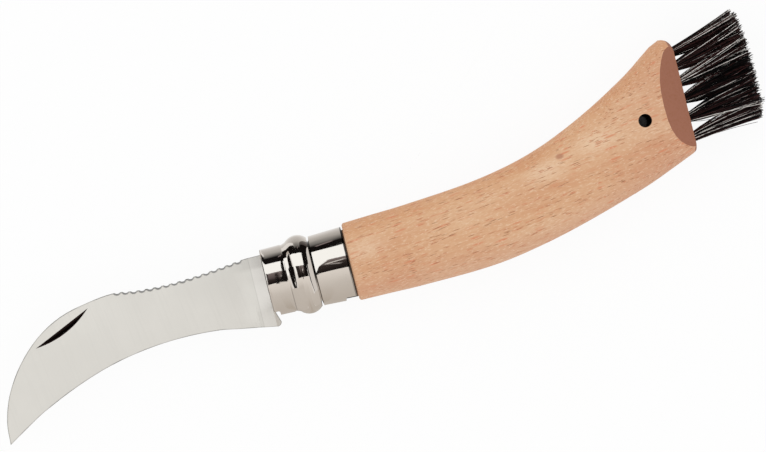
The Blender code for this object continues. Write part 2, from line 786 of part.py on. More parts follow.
def tuft_mesh(name, height, across, fan):
    """A plug cut into cells, with a bristle drawn out of each cell."""
    mesh = bpy.data.meshes.new(name)
    shape = bmesh.new()
    frame = tuft_frame(height, across)
    back = frame.inverted()
    centre = shape.verts.new((0, 0, 0))
    rings = []
    for r in range(1, TUFT_RINGS + 1):
        radius = TUFT_RADIUS * r / TUFT_RINGS
        angles = [2 * math.pi * k / TUFT_SECTORS for k in range(TUFT_SECTORS)]
        rings.append([shape.verts.new((radius * math.cos(a), radius * math.sin(a), 0)) for a in angles])
    foot = [shape.verts.new((v.co.x, v.co.y, -TUFT_DEPTH)) for v in rings[-1]]
    cells = []
    for k in range(TUFT_SECTORS):
        n = (k + 1) % TUFT_SECTORS
        cells.append(shape.faces.new((centre, rings[0][k], rings[0][n])))
        for low, high in zip(rings, rings[1:]):
            cells.append(shape.faces.new((low[k], high[k], high[n], low[n])))
        shape.faces.new((rings[-1][k], foot[k], foot[n], rings[-1][n]))
    shape.faces.new(list(reversed(foot)))
    bmesh.ops.inset_individual(shape, faces=cells, thickness=STRAND_INSET, use_even_offset=True)
    drawn = bmesh.ops.extrude_discrete_faces(shape, faces=cells)["faces"]
    tuft_root = frame.translation
    for cell in drawn:
        corners = [frame @ v.co for v in cell.verts]
        middle = sum(corners, Vector()) / len(corners)
        tip = strand_tip(middle, tuft_root, fan)
        for vert, corner in zip(cell.verts, corners):
            vert.co = back @ (tip + (corner - middle) * TIP_SHARE)
    shape.to_mesh(mesh)
    shape.free()
    return mesh, frame


def make_brush(knife, cutters, bristle, wire):
    """Tufts in their holes, each folded over a flat wire anchor. Returns the holes' cutters."""
    holes = bpy.data.collections.new("tuft_holes")
    cutters.children.link(holes)
    for k, (height, across, fan) in enumerate(tuft_roots()):
        number = f"{k + 1:02d}"
        mesh, frame = tuft_mesh("bristle_tuft_" + number, height, across, fan)
        tuft = place("bristle_tuft_" + number, mesh, knife, bristle)
        tuft.matrix_basis = frame
        out = frame.to_3x3() @ Vector((0, 0, 1))
        foot = frame @ Vector((0, 0, -TUFT_DEPTH))
        fold_height = ANCHOR_HEIGHT + RUN_GAP
        fold = block(
            "fold_" + number,
            (TUFT_RADIUS * 4, ANCHOR_THICKNESS + RUN_GAP, fold_height * 2),
            cutters,
            foot,
            frame.to_euler(),
        )
        change(tuft, fold)
        anchor_mesh = bpy.data.meshes.new("wire_anchor_" + number)
        shape = bmesh.new()
        bmesh.ops.create_cube(shape, size=1)
        bmesh.ops.scale(shape, vec=(ANCHOR_LENGTH, ANCHOR_THICKNESS, ANCHOR_HEIGHT), verts=shape.verts)
        rim = ANCHOR_THICKNESS / 4
        bmesh.ops.bevel(shape, geom=list(shape.edges), offset=rim, segments=1, affect="EDGES", profile=0.5)
        shape.to_mesh(anchor_mesh)
        shape.free()
        seat = foot + out * (ANCHOR_HEIGHT / 2 + RUN_GAP / 2 - RUN_GAP)
        place("wire_anchor_" + number, anchor_mesh, knife, wire, seat, frame.to_euler())
        reach = HOLE_DEPTH + OVERRUN
        hole_centre = frame.translation + out * (reach / 2 - HOLE_DEPTH)
        hole_radius = (TUFT_RADIUS + TUFT_GAP) / math.cos(math.pi / (2 * TUFT_SECTORS))
        rod("tuft_hole_" + number, hole_radius, reach, 2 * TUFT_SECTORS, holes, hole_centre, out)
    return holes


def stand_on_origin(knife, cutters):
    """Moves everything so that the origin is under the middle of the knife, on its lowest level."""
    base = bpy.data.objects.new("knife_place", None)
    knife.objects.link(base)
    for piece in list(knife.all_objects) + list(cutters.all_objects):
        if piece is not base:
            piece.parent = base
    bpy.context.view_layer.update()
    graph = bpy.context.evaluated_depsgraph_get()
    corners = []
    for piece in knife.objects:
        if piece.type == "MESH":
            seen = piece.evaluated_get(graph)
            corners += [seen.matrix_world @ v.co for v in seen.data.vertices]
    low = Vector([min(c[i] for c in corners) for i in range(3)])
    high = Vector([max(c[i] for c in corners) for i in range(3)])
    base.location = (-(low.x + high.x) / 2, -(low.y + high.y) / 2, -low.z)
    bpy.context.view_layer.update()
    return base.location


def main():
    clear_scene()
    knife = new_collection("mushroom_knife")
    cutters = new_collection("cutters")
    beech = surface("beech", (0.72, 0.42, 0.22), 0.55, 0.0)
    satin_steel = surface("satin_steel", (0.72, 0.72, 0.70), 0.30, 1.0)
    polished_steel = surface("polished_steel", (0.80, 0.80, 0.78), 0.08, 1.0)
    black_bristle = surface("black_bristle", (0.03, 0.025, 0.02), 0.60, 0.0)
    anchor_wire = surface("anchor_wire", (0.55, 0.55, 0.52), 0.40, 1.0)

    bore_length = 2 * (WOOD_RADIUS + OVERRUN)
    upward = Vector((0, 0, 1))
    pin_bore = rod("pin_bore", PIN_RADIUS + RUN_GAP, bore_length, PIN_STEPS, cutters, PIVOT, upward)
    collar = make_collar(knife, cutters, polished_steel)
    change(collar, pin_bore)
    make_ring(knife, cutters, polished_steel)
    make_pin(knife, satin_steel)
    make_blade(knife, cutters, satin_steel, pin_bore)

    handle = make_wood(knife, beech)
    change(handle, neck(cutters), "UNION")
    slot = as_cutter(flat_piece("blade_slot", slot_outline(), BLADE_SLOT, cutters))
    change(handle, slot)
    for flat in tail_cutters(cutters):
        change(handle, flat)
    cord_place = (HANDLE_END - CORD_HOLE_SETBACK, CORD_HOLE_HEIGHT, 0)
    cord_hole = rod("cord_hole", CORD_HOLE_DIAMETER / 2, bore_length, 24, cutters, cord_place, upward)
    change(handle, cord_hole)
    change(handle, pin_bore)
    change(handle, make_brush(knife, cutters, black_bristle, anchor_wire))

    moved = stand_on_origin(knife, cutters)
    pivot = PIVOT + moved
    print("design origin moved by", [round(c, 6) for c in moved])
    print("blade pivot and ring axis pass", [round(c, 6) for c in pivot])


main()
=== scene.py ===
import json
import math
import random

import bpy
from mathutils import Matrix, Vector


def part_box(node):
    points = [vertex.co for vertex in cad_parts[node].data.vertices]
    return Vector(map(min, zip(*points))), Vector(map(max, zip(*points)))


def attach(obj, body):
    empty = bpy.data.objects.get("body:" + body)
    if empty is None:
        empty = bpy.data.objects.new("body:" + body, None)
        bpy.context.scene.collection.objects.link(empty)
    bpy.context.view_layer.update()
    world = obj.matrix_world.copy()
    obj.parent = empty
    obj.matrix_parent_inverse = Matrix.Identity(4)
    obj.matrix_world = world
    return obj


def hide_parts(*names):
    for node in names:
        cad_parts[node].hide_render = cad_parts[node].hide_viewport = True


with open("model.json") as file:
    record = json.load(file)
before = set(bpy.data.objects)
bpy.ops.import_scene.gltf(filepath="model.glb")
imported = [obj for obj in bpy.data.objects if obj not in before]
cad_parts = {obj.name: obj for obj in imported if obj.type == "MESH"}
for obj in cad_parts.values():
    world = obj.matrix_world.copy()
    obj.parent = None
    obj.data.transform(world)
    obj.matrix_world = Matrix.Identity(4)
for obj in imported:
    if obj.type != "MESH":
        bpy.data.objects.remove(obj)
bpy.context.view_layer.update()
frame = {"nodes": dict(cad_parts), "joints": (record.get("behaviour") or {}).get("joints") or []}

print("frame loaded,", len(frame["nodes"]), "nodes")

# Places that come from the frame. The collar's axis runs along X from the open end of the ring.
nodes = frame["nodes"]
joints = {joint["name"]: joint for joint in frame["joints"]}
pivot = Vector(joints["blade_hinge"]["pos_m"])
ringLow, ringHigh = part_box("locking_ring")
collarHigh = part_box("fixed_collar")[1]
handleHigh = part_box("handle")[1]
axisStart = Vector((ringLow.x, pivot.y, pivot.z))
collarMiddle = Vector(((ringLow.x + collarHigh.x) / 2, pivot.y, pivot.z))
endFace = handleHigh.x                       # the flat end that holds the brush
scene = bpy.context.scene
tuftNodes = sorted(name for name in nodes if name.startswith("bristle_tuft"))
anchorNodes = sorted(name for name in nodes if name.startswith("wire_anchor"))


# Small helpers for the materials
def newMaterial(name):
    material = bpy.data.materials.new(name)
    material.use_nodes = True
    tree = material.node_tree
    return material, tree, tree.nodes["Principled BSDF"]


def fill(tree, socket, value):
    # A socket takes a link from another node, a colour without its alpha, or a plain value.
    if isinstance(value, bpy.types.NodeSocket):
        tree.links.new(value, socket)
    elif isinstance(value, tuple) and socket.type == "RGBA":
        socket.default_value = (*value, 1)
    else:
        socket.default_value = value


def setInputs(tree, node, inputs):
    for name, value in inputs.items():
        fill(tree, node.inputs[name], value)


def addNode(tree, kind, inputs=None, **settings):
    node = tree.nodes.new(kind)
    for name, value in settings.items():
        setattr(node, name, value)
    setInputs(tree, node, inputs or {})
    return node


def stretched(tree, size, turn=0.0, middle=(0, 0, 0)):
    # Object coordinates in metres from a middle, divided by the size of the real detail. The turn is in
    # degrees about Z.
    coordinates = addNode(tree, "ShaderNodeTexCoord").outputs["Object"]
    mapping = addNode(tree, "ShaderNodeMapping", {"Vector": coordinates}, vector_type="TEXTURE")
    mapping.inputs["Location"].default_value = middle
    mapping.inputs["Rotation"].default_value = (0, 0, math.radians(turn))
    mapping.inputs["Scale"].default_value = size
    return mapping.outputs["Vector"]


def noisePattern(tree, vector, detail=3.0):
    inputs = {"Vector": vector, "Scale": 1.0, "Detail": detail, "Roughness": 0.55}
    return addNode(tree, "ShaderNodeTexNoise", inputs).outputs["Fac"]


def xyz(tree, vector):
    return addNode(tree, "ShaderNodeSeparateXYZ", {"Vector": vector}).outputs


def ramp(tree, value, stops):
    node = addNode(tree, "ShaderNodeValToRGB", {"Fac": value})
    points = node.color_ramp.elements
    points[0].position, points[1].position = stops[0][0], stops[-1][0]
    for place, _ in stops[1:-1]:
        points.new(place)
    for point, (_, colour) in zip(points, stops):
        point.color = (*colour, 1)
    return node.outputs["Color"]


def between(tree, value, low, high, toLow=0.0, toHigh=1.0):
    # Goes softly from toLow to toHigh while the value goes from low to high.
    inputs = {"Value": value, "From Min": low, "From Max": high, "To Min": toLow, "To Max": toHigh}
    return addNode(tree, "ShaderNodeMapRange", inputs, interpolation_type="SMOOTHSTEP").outputs["Result"]


def sums(tree, operation, *values):
    node = addNode(tree, "ShaderNodeMath", operation=operation)
    for socket, value in zip(node.inputs, values):
        fill(tree, socket, value)
    return node.outputs["Value"]


def mixColours(tree, share, first, second):
    # The mix node's two colours are its sockets 6 and 7, and the mixed one comes out at 2.
    node = addNode(tree, "ShaderNodeMix", data_type="RGBA")
    for socket, value in (("Factor", share), (6, first), (7, second)):
        fill(tree, node.inputs[socket], value)
    return node.outputs[2]


def laidOver(tree, colour, over, value, limits):
    # The second colour lies over the first as far as a pattern's value is within the limits.
    return mixColours(tree, between(tree, value, *limits), colour, over)


def mixShaders(tree, share, first, second):
    both = addNode(tree, "ShaderNodeMixShader", {"Fac": share})
    tree.links.new(first, both.inputs[1])
    tree.links.new(second, both.inputs[2])
    tree.links.new(both.outputs["Shader"], tree.nodes["Material Output"].inputs["Surface"])


def dimmed(colour, share):
    return tuple(part * share for part in colour)


def bumped(tree, shader, *layers):
    # Each layer is a height socket and its height in metres.
    below = None
    for height, depth in layers:
        bump = addNode(tree, "ShaderNodeBump", {"Height": height, "Strength": 1.0, "Distance": depth})
        if below is not None:
            tree.links.new(below, bump.inputs["Normal"])
        below = bump.outputs["Normal"]
    tree.links.new(below, shader.inputs["Normal"])


def dress(piece, material):
    piece.data.materials.clear()
    piece.data.materials.append(material)


# Rounds the shading of a CAD node without touching its mesh
def shadeRound(piece, sharpAngle):
    piece.modifiers.new("weldCorners", "WELD").merge_threshold = 1e-6
    group = bpy.data.node_groups.get("roundShading")
    if group is None:
        group = bpy.data.node_groups.new("roundShading", "GeometryNodeTree")
        group.interface.new_socket("Geometry", in_out="INPUT", socket_type="NodeSocketGeometry")
        group.interface.new_socket("Sharp angle", in_out="INPUT", socket_type="NodeSocketFloat")
        group.interface.new_socket("Geometry", in_out="OUTPUT", socket_type="NodeSocketGeometry")
        start = group.nodes.new("NodeGroupInput")
        end = group.nodes.new("NodeGroupOutput")
        angle = group.nodes.new("GeometryNodeInputMeshEdgeAngle")
        wide = group.nodes.new("FunctionNodeCompare")
        wide.operation = "GREATER_THAN"
        smooth = group.nodes.new("GeometryNodeSetShadeSmooth")
        creased = group.nodes.new("GeometryNodeSetShadeSmooth")
        creased.domain = "EDGE"
        creased.inputs["Shade Smooth"].default_value = False
        link = group.links.new
        link(start.outputs["Geometry"], smooth.inputs["Geometry"])
        link(angle.outputs["Unsigned Angle"], wide.inputs["A"])
        link(start.outputs["Sharp angle"], wide.inputs["B"])
        link(smooth.outputs["Geometry"], creased.inputs["Geometry"])
        link(wide.outputs["Result"], creased.inputs["Selection"])
        link(creased.outputs["Geometry"], end.inputs["Geometry"])
    modifier = piece.modifiers.new("roundShading", "NODES")
    modifier.node_group = group
    modifier["Socket_1"] = math.radians(sharpAngle)         # the group's sharp angle


# In the dictionaries below, two or four numbers for a pattern say between which of its values a colour or
# a roughness changes, and from what share to what share. With two numbers it changes from 0 to 1.

# Handle, in oiled beech
beechLook = {
    "light": (0.755, 0.490, 0.300),
    "middle": (0.695, 0.405, 0.232),
    "warm": (0.645, 0.335, 0.182),
    "toneStops": (0.34, 0.50, 0.66),         # of warm, middle and light in the slow patches
    "fleck": (0.27, 0.098, 0.038),
    "redFleck": (0.66, 0.225, 0.115),
    "endGrain": (0.345, 0.142, 0.088),
    "grainTilt": 6.5,                        # degrees, the grain against the collar's axis
    "patch": 0.016,                          # metres, and so are the lengths and widths below
    "lineLength": 0.030,
    "lineWidth": 0.0011,
    "lightLines": (0.42, 0.62, 0.0, 0.35),
    "warmLines": (0.46, 0.34, 0.0, 0.30),
    "redDash": {"length": 0.0060, "width": 0.0009, "reach": 0.42, "soft": 0.26, "chance": (0.58, 0.88)},
    "redGroups": (0.38, 0.58, 0.25, 0.85),
    "brownDash": {"length": 0.0033, "width": 0.00025, "reach": 0.44, "soft": 0.18, "chance": (0.18, 0.46)},
    "brownShare": 0.95,
    "rowLength": 0.015,                      # brown dashes stand in rows along the grain
    "rowWidth": 0.0011,
    "rowEdge": (0.45, 0.55),
    "grit": 0.00035,
    "warmGrit": (0.48, 0.34, 0.0, 0.36),
    "paleGrit": (0.54, 0.68, 0.0, 0.52),
    "poreLength": 0.0011,
    "poreWidth": 0.00022,
    "poreDepth": 0.000012,
    "dashDepth": 0.6,                        # how deep a brown dash is, in pores
    "rosy": (0.60, 0.31, 0.205),             # the brush end is rosier, and the side towards the slot gets it as painted shade
    "rosyEnd": (0.062, 0.095, 0.0, 0.35),    # along the handle, from the collar
    "rosyShadeSide": (-0.15, -0.85, 0.0, 0.42),   # painted shade, as the surface turns down to the slot
    "amber": (0.64, 0.30, 0.13),
    "amberShadeSide": (0.30, 0.75, 0.0, 0.40),    # painted shade, as it turns up
    "knot": (0.0824, 0.01395),               # metres from the ring's front, on the collar's axis
    "knotSize": (0.0015, 0.0010),
    "knotEdge": (1.0, 0.4, 0.0, 0.7),        # 1 is the knot's edge, and 0 its middle
    "knotColour": (0.42, 0.17, 0.10),
    "pale": (0.83, 0.60, 0.41),
    "palePlaces": ((0.0778, 0.01095), (0.0926, 0.01525), (0.0275, 0.0026)),
    "paleSize": (0.0085, 0.0045),
    "paleEdge": (1.0, 0.0, 0.0, 0.6),
    "endTurn": (0.44, 0.56),                 # as the surface turns to the handle's length
    "endPore": 0.0006,
    "endPores": (0.45, 0.70, 0.0, 0.25),
    "hole": (0.10635, 0.01764),              # the cord hole, dark inside with painted shade
    "holeReach": 0.00178,
    "holeShade": (0.03, 0.014, 0.009),
    "jointReach": 0.00055,                   # how far the painted shade in the joint with the collar reaches
    "jointShade": (0.020, 0.012, 0.009),
    "roughness": (0.3, 0.7, 0.50, 0.64),
    "ior": 1.45,
    "gloss": 0.22,
    "sharpAngle": 28,                        # degrees, a wider edge stays sharp
}


def dashes(tree, vector, dash):
    # One dash in some of the cells of a stretched pattern, and a random share for each cell's tone.
    cells = addNode(tree, "ShaderNodeTexVoronoi", {"Vector": vector, "Scale": 1.0}).outputs
    chance = addNode(tree, "ShaderNodeSeparateColor", {"Color": cells["Color"]}).outputs
    shape = between(tree, cells["Distance"], dash["reach"], dash["reach"] - dash["soft"])
    picked = between(tree, chance["Red"], *dash["chance"])
    return sums(tree, "MULTIPLY", shape, picked), chance["Green"]


def spot(tree, middle, size, turn=0.0, depth=handleHigh.z / 2):
    # How far a place is from a middle: 1 at the edge of an ellipse of that size.
    vector = stretched(tree, (*size, depth), turn, middle)
    return addNode(tree, "ShaderNodeVectorMath", {"Vector": vector}, operation="LENGTH").outputs["Value"]


def beechWood(look):
    material, tree, shader = newMaterial("oiledBeech")

    def along(length, width):
        return stretched(tree, (length, width, width), look["grainTilt"])

    coordinates = addNode(tree, "ShaderNodeTexCoord").outputs
    fromCollar = sums(tree, "SUBTRACT", xyz(tree, coordinates["Object"])["X"], collarHigh.x)
    way = xyz(tree, coordinates["Normal"])
    patches = noisePattern(tree, along(look["patch"] * 2, look["patch"] / 2), detail=2.0)
    lines = noisePattern(tree, along(look["lineLength"], look["lineWidth"]), detail=4.0)
    tones = (look["warm"], look["middle"], look["light"])
    colour = ramp(tree, patches, list(zip(look["toneStops"], tones)))
    colour = laidOver(tree, colour, look["light"], lines, look["lightLines"])
    colour = laidOver(tree, colour, look["warm"], lines, look["warmLines"])
    colour = laidOver(tree, colour, look["rosy"], fromCollar, look["rosyEnd"])
    # Painted shade on the rounded sides: rosy as they turn down to the slot, amber as they turn up.
    colour = laidOver(tree, colour, look["rosy"], way["Y"], look["rosyShadeSide"])
    colour = laidOver(tree, colour, look["amber"], way["Y"], look["amberShadeSide"])
    ringTop = Vector((ringLow.x, pivot.y, handleHigh.z))
    for palePlace in look["palePlaces"]:
        pale = spot(tree, ringTop + Vector((*palePlace, 0)), look["paleSize"], look["grainTilt"])
        colour = laidOver(tree, colour, look["pale"], pale, look["paleEdge"])

    # Soft red streaks, then thin brown dashes that stand in rows, then the fine grit of the pores.
    groups = noisePattern(tree, along(look["patch"], look["patch"] / 3), detail=1.0)
    streak = dashes(tree, along(look["redDash"]["length"], look["redDash"]["width"]), look["redDash"])[0]
    streak = sums(tree, "MULTIPLY", streak, between(tree, groups, *look["redGroups"]))
    colour = mixColours(tree, streak, colour, look["redFleck"])
    rows = noisePattern(tree, along(look["rowLength"], look["rowWidth"]), detail=1.0)
    cells = along(look["brownDash"]["length"], look["brownDash"]["width"])
    dash, dashTone = dashes(tree, cells, look["brownDash"])
    dash = sums(tree, "MULTIPLY", dash, between(tree, rows, *look["rowEdge"]))
    brown = mixColours(tree, dashTone, look["fleck"], look["redFleck"])
    colour = mixColours(tree, sums(tree, "MULTIPLY", dash, look["brownShare"]), colour, brown)
    grit = noisePattern(tree, along(look["grit"] * 3, look["grit"]), detail=2.0)
    colour = laidOver(tree, colour, look["warm"], grit, look["warmGrit"])
    colour = laidOver(tree, colour, look["pale"], grit, look["paleGrit"])
    knot = spot(tree, ringTop + Vector((*look["knot"], 0)), look["knotSize"])
    colour = laidOver(tree, colour, look["knotColour"], knot, look["knotEdge"])

    # End grain shows where the surface turns to the handle's length.
    endPores = noisePattern(tree, stretched(tree, (look["endPore"],) * 3), detail=2.0)
    endColour = laidOver(tree, look["endGrain"], look["fleck"], endPores, look["endPores"])
    colour = laidOver(tree, colour, endColour, way["X"], look["endTurn"])

    # Painted shade: the hole is dark through the whole handle, and so is the shoulder where it meets the
    # collar.
    hole = Vector((ringLow.x + look["hole"][0], pivot.y + look["hole"][1], handleHigh.z / 2))
    inside = sums(tree, "LESS_THAN", spot(tree, hole, (look["holeReach"],) * 2, depth=1.0), 1.0)
    colour = mixColours(tree, inside, colour, look["holeShade"])
    colour = laidOver(tree, colour, look["jointShade"], fromCollar, (look["jointReach"], 0.0))

    pores = noisePattern(tree, along(look["poreLength"], look["poreWidth"]), detail=2.0)
    height = sums(tree, "SUBTRACT", pores, sums(tree, "MULTIPLY", dash, look["dashDepth"]))
    rough = between(tree, pores, *look["roughness"])
    setInputs(tree, shader, {"Base Color": colour, "Roughness": rough, "IOR": look["ior"]})
    setInputs(tree, shader, {"Specular IOR Level": look["gloss"]})
    bumped(tree, shader, (height, look["poreDepth"]))
    return material


def dressHandle():
    handle = nodes["handle"]
    dress(handle, beechWood(beechLook))
    shadeRound(handle, beechLook["sharpAngle"])
    print("handle dressed")


dressHandle()


# Collar and locking ring, in mirror-polished sheet
polishLook = {
    "colour": (0.72, 0.665, 0.61),
    "smudge": 0.006,                         # metres, the size of a smudge
    "smudgeTone": 0.93,                      # how much of the colour is left in it
    "roughness": (0.45, 0.75, 0.05, 0.10),   # as the smudges go
    "scratchLength": 0.004,
    "scratchWidth": 0.00006,
    "scratchDepth": 0.0000006,
    "waveLength": 0.015,                     # the sheet's slow unevenness, longer along the axis
    "waveWidth": 0.0045,
    "waveDepth": 0.00020,
    "shadeLineColour": (0.02, 0.017, 0.016),
    "seamWidth": 0.00034,                    # the dark joint between the ring and the collar, partly painted shade
    "seamDark": (0.18, 1.0),                 # how dark it is below the axis and above it
    "endWidth": 0.00034,                     # a painted shade line where the collar ends at the wood
    "endDark": (0.45, 0.95),
    "lipWidth": 0.00022,                     # a fainter painted shade line at the ring's front
    "lipDark": (0.42, 0.55),
    "foot": 0.0059,                          # a soft painted shade line at the bead's foot, from the ring's front
    "footWidth": 0.00026,
    "footDark": (0.34, 0.0),
    "lineTop": 0.0062,                       # above the axis, where the lip's and the foot's lines end
    "lineFade": 0.0006,
    "sharpAngle": 32,
}


def polishedSheet(look):
    material, tree, shader = newMaterial("polishedSheet")
    smudges = noisePattern(tree, stretched(tree, (look["smudge"],) * 3), detail=4.0)
    rough = between(tree, smudges, *look["roughness"])
    tint = mixColours(tree, smudges, look["colour"], dimmed(look["colour"], look["smudgeTone"]))
    place = xyz(tree, addNode(tree, "ShaderNodeTexCoord").outputs["Object"])
    crossing = ringHigh.z / 4                # the stretch below the axis in which a line's darkness changes
    upper = between(tree, place["Y"], axisStart.y - crossing, axisStart.y)
    lineTop = axisStart.y + look["lineTop"]
    below = between(tree, place["Y"], lineTop, lineTop - look["lineFade"])
    foot = ringLow.x + look["foot"]
    beyond = 1.0                             # metres, past the end of the sheet
    # The dark lines: the joint with the ring, partly painted shade, and painted shade at the collar's end,
    # at the ring's front and at the bead's foot.
    lines = (
        (ringHigh.x, ringHigh.x + look["seamWidth"], look["seamDark"]),
        (collarHigh.x - look["endWidth"], collarHigh.x + beyond, look["endDark"]),
        (ringLow.x - beyond, ringLow.x + look["lipWidth"], look["lipDark"]),
        (foot, foot + look["footWidth"], look["footDark"]),
    )
    for low, high, dark in lines:
        after = sums(tree, "GREATER_THAN", place["X"], low)
        before = sums(tree, "LESS_THAN", place["X"], high)
        share = between(tree, upper, 0.0, 1.0, *dark)
        line = sums(tree, "MULTIPLY", sums(tree, "MULTIPLY", after, before), share)
        if high < ringHigh.x:
            line = sums(tree, "MULTIPLY", line, below)
        tint = mixColours(tree, line, tint, look["shadeLineColour"])
    setInputs(tree, shader, {"Base Color": tint, "Metallic": 1.0, "Roughness": rough})
    scratchSize = (look["scratchWidth"], look["scratchLength"], look["scratchLength"])
    scratches = noisePattern(tree, stretched(tree, scratchSize), detail=1.0)
    waveSize = (look["waveLength"], look["waveWidth"], look["waveWidth"])
    wave = noisePattern(tree, stretched(tree, waveSize), detail=1.0)
    bumped(tree, shader, (wave, look["waveDepth"]), (scratches, look["scratchDepth"]))
    return material


def dressCollar():
    steel = polishedSheet(polishLook)
    for name in ("fixed_collar", "locking_ring"):
        dress(nodes[name], steel)
        shadeRound(nodes[name], polishLook["sharpAngle"])
    print("collar and locking ring dressed")


dressCollar()


# Blade and pin, in satin steel
satinLook = {
    "colour": (0.705, 0.68, 0.632),
    "dull": 0.96,                            # how much of the colour is left where the steel is duller
    "cloud": 0.018,                          # metres, and so are the lengths and widths below
    "cloudTones": (0.35, 0.65),
    "grindLength": 0.014,                    # along a grinding line
    "grindWidth": 0.00009,
    "grindDepth": 0.0000012,
    "grindTilt": 8.0,                        # degrees, the lines against the blade's height
    "grindTones": (0.4, 0.7, 0.0, 0.25),
    "streakLength": 0.020,
    "streakWidth": 0.00055,
    "streakDull": 0.93,
    "streakTones": (0.45, 0.72, 0.0, 0.45),
    "roughness": 0.29,
    "grindRoughness": 0.10,                  # what the grinding lines add to it
    "rimShade": (0.12, 0.115, 0.105),       # painted shade where the steel turns away, in the notches, at the rims and along the plunge
    "rimTurn": (0.74, 0.60),                 # 1 where it lies level and 0 where it stands upright
    "rimReach": 0.00042,
    "rimEdge": (0.92, 0.50),                 # 1 away from a rim, and less beside it
    "rimBreakup": 0.006,                           # the painted rim shade is broken up in patches of this size
    "rimBreakupTones": (0.40, 0.62, 0.5, 1.0),
    "plunge": -0.0035,                       # from the ring's front, where the grinding starts
    "plungeWidth": 0.00028,
    "plungeShare": 0.16,
    "bareColour": (0.82, 0.785, 0.745),      # the unground part is lighter
    "bareShare": 0.35,
    # painted shade in the nail nick, and where it lies
    "nickShade": (0.016, 0.009, 0.008),
    "nickMiddle": (-0.05541, 0.00146),       # from the ring's front, on the collar's axis
    "nickTurn": 24.1,                        # degrees
    "nickLength": 0.0170,
    "nickDepth": 0.00150,                    # across its middle
    "nickOver": 0.00006,                     # past its straight side
    "sharpAngle": 22,
}


def satinSteel(look, name, withNick=False):
    material, tree, shader = newMaterial(name)
    turn = look["grindTilt"]
    lineSize = (look["grindWidth"], look["grindLength"], look["grindLength"])
    lines = noisePattern(tree, stretched(tree, lineSize, turn), detail=3.0)
    clouds = noisePattern(tree, stretched(tree, (look["cloud"],) * 3), detail=3.0)
    dull = dimmed(look["colour"], look["dull"])
    colour = laidOver(tree, look["colour"], dull, clouds, look["cloudTones"])
    colour = laidOver(tree, colour, dull, lines, look["grindTones"])
    streakSize = (look["streakWidth"], look["streakLength"], look["streakLength"])
    streaks = noisePattern(tree, stretched(tree, streakSize, turn), detail=2.0)
    duller = dimmed(look["colour"], look["streakDull"])
    colour = laidOver(tree, colour, duller, streaks, look["streakTones"])
    coordinates = addNode(tree, "ShaderNodeTexCoord").outputs
    # Painted shade where the steel turns away and in a thin rim beside every edge, broken up in patches.
    level = sums(tree, "ABSOLUTE", xyz(tree, coordinates["Normal"])["Z"])
    colour = laidOver(tree, colour, look["rimShade"], level, look["rimTurn"])
    thin = addNode(tree, "ShaderNodeAmbientOcclusion", {"Distance": look["rimReach"]}, samples=8)
    thin.inside, thin.only_local = True, True
    rimBreakup = noisePattern(tree, stretched(tree, (look["rimBreakup"],) * 3), detail=1.0)
    rim = between(tree, thin.outputs["AO"], *look["rimEdge"])
    rim = sums(tree, "MULTIPLY", rim, between(tree, rimBreakup, *look["rimBreakupTones"]))
    colour = mixColours(tree, rim, colour, look["rimShade"])
    if withNick:
        place = xyz(tree, coordinates["Object"])
        plunge = ringLow.x + look["plunge"]
        bare = (plunge, plunge + look["plungeWidth"], 0.0, look["bareShare"])
        colour = laidOver(tree, colour, look["bareColour"], place["X"], bare)
        # A painted shade line along the plunge.
        fromPlunge = sums(tree, "ABSOLUTE", sums(tree, "SUBTRACT", place["X"], plunge))
        plungeLine = (look["plungeWidth"] / 2, 0.0, 0.0, look["plungeShare"])
        colour = laidOver(tree, colour, look["rimShade"], fromPlunge, plungeLine)
        colour = mixColours(tree, nickShadeMask(tree, look), colour, look["nickShade"])
    rough = sums(tree, "MULTIPLY_ADD", lines, look["grindRoughness"], look["roughness"])
    setInputs(tree, shader, {"Base Color": colour, "Metallic": 1.0, "Roughness": rough})
    bumped(tree, shader, (lines, look["grindDepth"]))
    return material


def nickShadeMask(tree, look):
    # Painted shade in the nail nick: a crescent with its straight side towards the spine.
    middle = axisStart + Vector((*look["nickMiddle"], 0))
    place = xyz(tree, stretched(tree, (1, 1, 1), look["nickTurn"], middle))
    fromMiddle = sums(tree, "DIVIDE", place["X"], look["nickLength"] / 2)
    bulge = sums(tree, "SUBTRACT", 1.0, sums(tree, "MULTIPLY", fromMiddle, fromMiddle))
    edge = sums(tree, "MULTIPLY", bulge, -look["nickDepth"])
    below = sums(tree, "LESS_THAN", place["Y"], look["nickOver"])
    above = sums(tree, "GREATER_THAN", place["Y"], edge)
    front = sums(tree, "GREATER_THAN", place["Z"], 0.0)
    return sums(tree, "MULTIPLY", sums(tree, "MULTIPLY", below, above), front)


def dressBlade():
    dress(nodes["blade"], satinSteel(satinLook, "satinBlade", withNick=True))
    shadeRound(nodes["blade"], satinLook["sharpAngle"])
    dress(nodes["pivot_pin"], satinSteel(satinLook, "satinPin"))
    shadeRound(nodes["pivot_pin"], satinLook["sharpAngle"])
    print("blade and pin dressed")


dressBlade()


